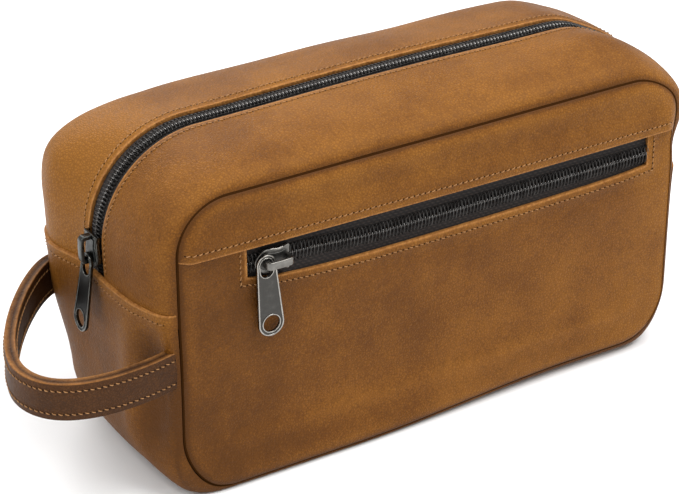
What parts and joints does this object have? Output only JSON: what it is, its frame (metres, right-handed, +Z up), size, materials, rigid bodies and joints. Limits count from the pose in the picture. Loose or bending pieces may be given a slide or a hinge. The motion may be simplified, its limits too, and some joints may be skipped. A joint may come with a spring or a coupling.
{
  "type": "leather shaving kit bag",
  "caption": "Soft leather wash and shaving kit bag with a zip over the top, a flat zipped front pocket and a looped leather side handle.",
  "frame": {"origin": "centre of the base, on the surface that the bag stands on", "axes": "+X along the bag's length, away from the handle; -Y is the front with the pocket zip; +Z up"},
  "size_m": [0.3013, 0.1022, 0.14],
  "materials": {
    "body_leather": "waxed pull-up leather, tan, mottled",
    "handle_leather": "waxed pull-up leather, darker tan, light cut edges",
    "lining_cloth": "plain woven lining",
    "zip_tape": "woven tape, dark brown",
    "zip_coil": "dark metallic coil",
    "black_nickel": "polished black nickel",
    "antique_nickel": "antique nickel, darker in the recesses"
  },
  "bodies": {
    "base": {"base_gusset": "body_leather", "top_gusset_front_ends": "body_leather", "top_gusset_back_ends": "body_leather", "front_panel": "body_leather", "back_panel_lower": "body_leather", "lining_gusset": "lining_cloth", "lining_front_lower": "lining_cloth", "lining_back_lower": "lining_cloth", "pocket_bag_front": "lining_cloth", "pocket_bag_back": "lining_cloth", "pocket_zip_tape_upper": "zip_tape", "pocket_zip_tape_lower": "zip_tape", "pocket_zip_coil_upper": "zip_coil", "pocket_zip_coil_lower": "zip_coil"},
    "front_mouth": {"front_yoke": "body_leather", "front_panel_lap": "body_leather", "top_gusset_front": "body_leather", "lining_front_upper": "lining_cloth", "lining_top_front": "lining_cloth", "main_zip_tape_front": "zip_tape", "main_zip_coil_front": "zip_coil"},
    "back_mouth": {"back_panel_upper": "body_leather", "top_gusset_back": "body_leather", "lining_back_upper": "lining_cloth", "lining_top_back": "lining_cloth", "main_zip_tape_back": "zip_tape", "main_zip_coil_back": "zip_coil"},
    "main_slider": {"main_slider_body": "black_nickel", "main_slider_crown": "black_nickel"},
    "main_puller": {"main_puller": "black_nickel"},
    "pocket_slider": {"pocket_slider_body": "antique_nickel", "pocket_slider_crown": "antique_nickel"},
    "pocket_puller": {"pocket_puller": "antique_nickel"},
    "handle": {"handle_outer_strap": "handle_leather", "handle_inner_strap": "handle_leather"}
  },
  "joints": [
    {"name": "front_mouth_fold", "type": "hinge", "parent": "base", "child": "front_mouth", "pos_m": [0, -0.049, 0.1048], "axis": [-1, 0, 0], "range_deg": [-25, 0], "deforming": ["main_zip_tape_front", "main_zip_coil_front"]},
    {"name": "back_mouth_fold", "type": "hinge", "parent": "base", "child": "back_mouth", "pos_m": [0, 0.0472, 0.1048], "axis": [1, 0, 0], "range_deg": [-25, 0], "deforming": ["main_zip_tape_back", "main_zip_coil_back"]},
    {"name": "main_slider_travel", "type": "hinge", "parent": "base", "child": "main_slider", "pos_m": [-0.085, 0, 0.097], "axis": [0, 1, 0], "range_deg": [0, 90]},
    {"name": "main_puller_flip", "type": "hinge", "parent": "main_slider", "child": "main_puller", "pos_m": [-0.1309, 0, 0.09275], "axis": [0, 1, 0], "range_deg": [-5, 140]},
    {"name": "pocket_slider_travel", "type": "slide", "parent": "base", "child": "pocket_slider", "axis": [1, 0, 0], "range_m": [0, 0.164], "deforming": ["pocket_zip_tape_upper", "pocket_zip_tape_lower", "pocket_zip_coil_upper", "pocket_zip_coil_lower"]},
    {"name": "pocket_puller_swing", "type": "hinge", "parent": "pocket_slider", "child": "pocket_puller", "pos_m": [-0.0803, -0.0499, 0.098], "axis": [0, 1, 0], "range_deg": [-35, 150]},
    {"name": "handle_swing", "type": "hinge", "parent": "base", "child": "handle", "pos_m": [-0.121, 0, 0.05925], "axis": [0, 1, 0], "range_deg": [-25, 25], "stiffness_Nm_per_rad": 0.3}
  ]
}
